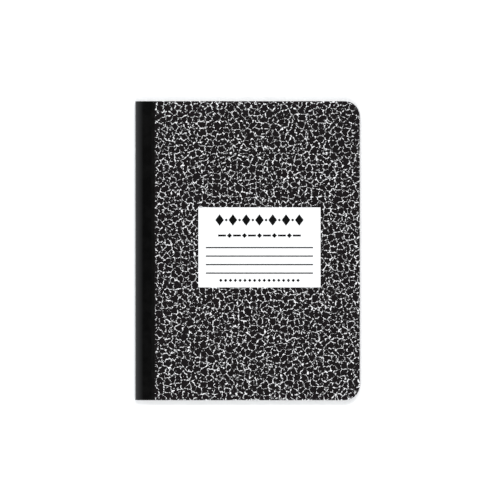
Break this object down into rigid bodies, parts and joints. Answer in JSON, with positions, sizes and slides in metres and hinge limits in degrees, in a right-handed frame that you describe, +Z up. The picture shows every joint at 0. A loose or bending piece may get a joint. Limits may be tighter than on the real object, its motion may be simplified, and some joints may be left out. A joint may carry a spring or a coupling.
{
  "type": "composition notebook",
  "caption": "Sewn composition notebook with marbled board covers that open, a black cloth tape spine, rounded fore-edge corners and a ruled white label printed on the front.",
  "frame": {"origin": "under the middle of the book, on the surface it lies on", "axes": "+X from the spine to the fore-edge, +Y along the spine to the head, +Z up through the front cover"},
  "size_m": [0.1861, 0.2476, 0.01],
  "materials": {
    "paper": "uncoated writing paper, matte",
    "thread": "twisted cotton thread",
    "cover_board": "printed board, satin outside, plain light board inside",
    "cloth_tape": "black cloth book tape with a fine weave and a slight shine",
    "marbled_print": "black and white marbled print with a satin varnish",
    "white_print": "unprinted white field under a satin varnish",
    "grey_ink": "dark grey ink",
    "black_ink": "black ink"
  },
  "bodies": {
    "book_block": {"page_block": "paper", "binding_thread": "thread", "spine_tape": "cloth_tape"},
    "front_board": {"front_cover": "cover_board", "front_marbling": "marbled_print", "label_field": "white_print", "label_rules": "grey_ink", "label_ornaments": "black_ink"},
    "back_board": {"back_cover": "cover_board", "back_marbling": "marbled_print"}
  },
  "joints": [
    {"name": "front_cover_hinge", "type": "hinge", "parent": "book_block", "child": "front_board", "pos_m": [-0.0859, 0, 0.01], "axis": [0, -1, 0], "range_deg": [0, 180], "deforming": ["spine_tape"]},
    {"name": "back_cover_hinge", "type": "hinge", "parent": "book_block", "child": "back_board", "pos_m": [-0.0859, 0, 0], "axis": [0, 1, 0], "range_deg": [0, 180], "deforming": ["spine_tape"]}
  ]
}
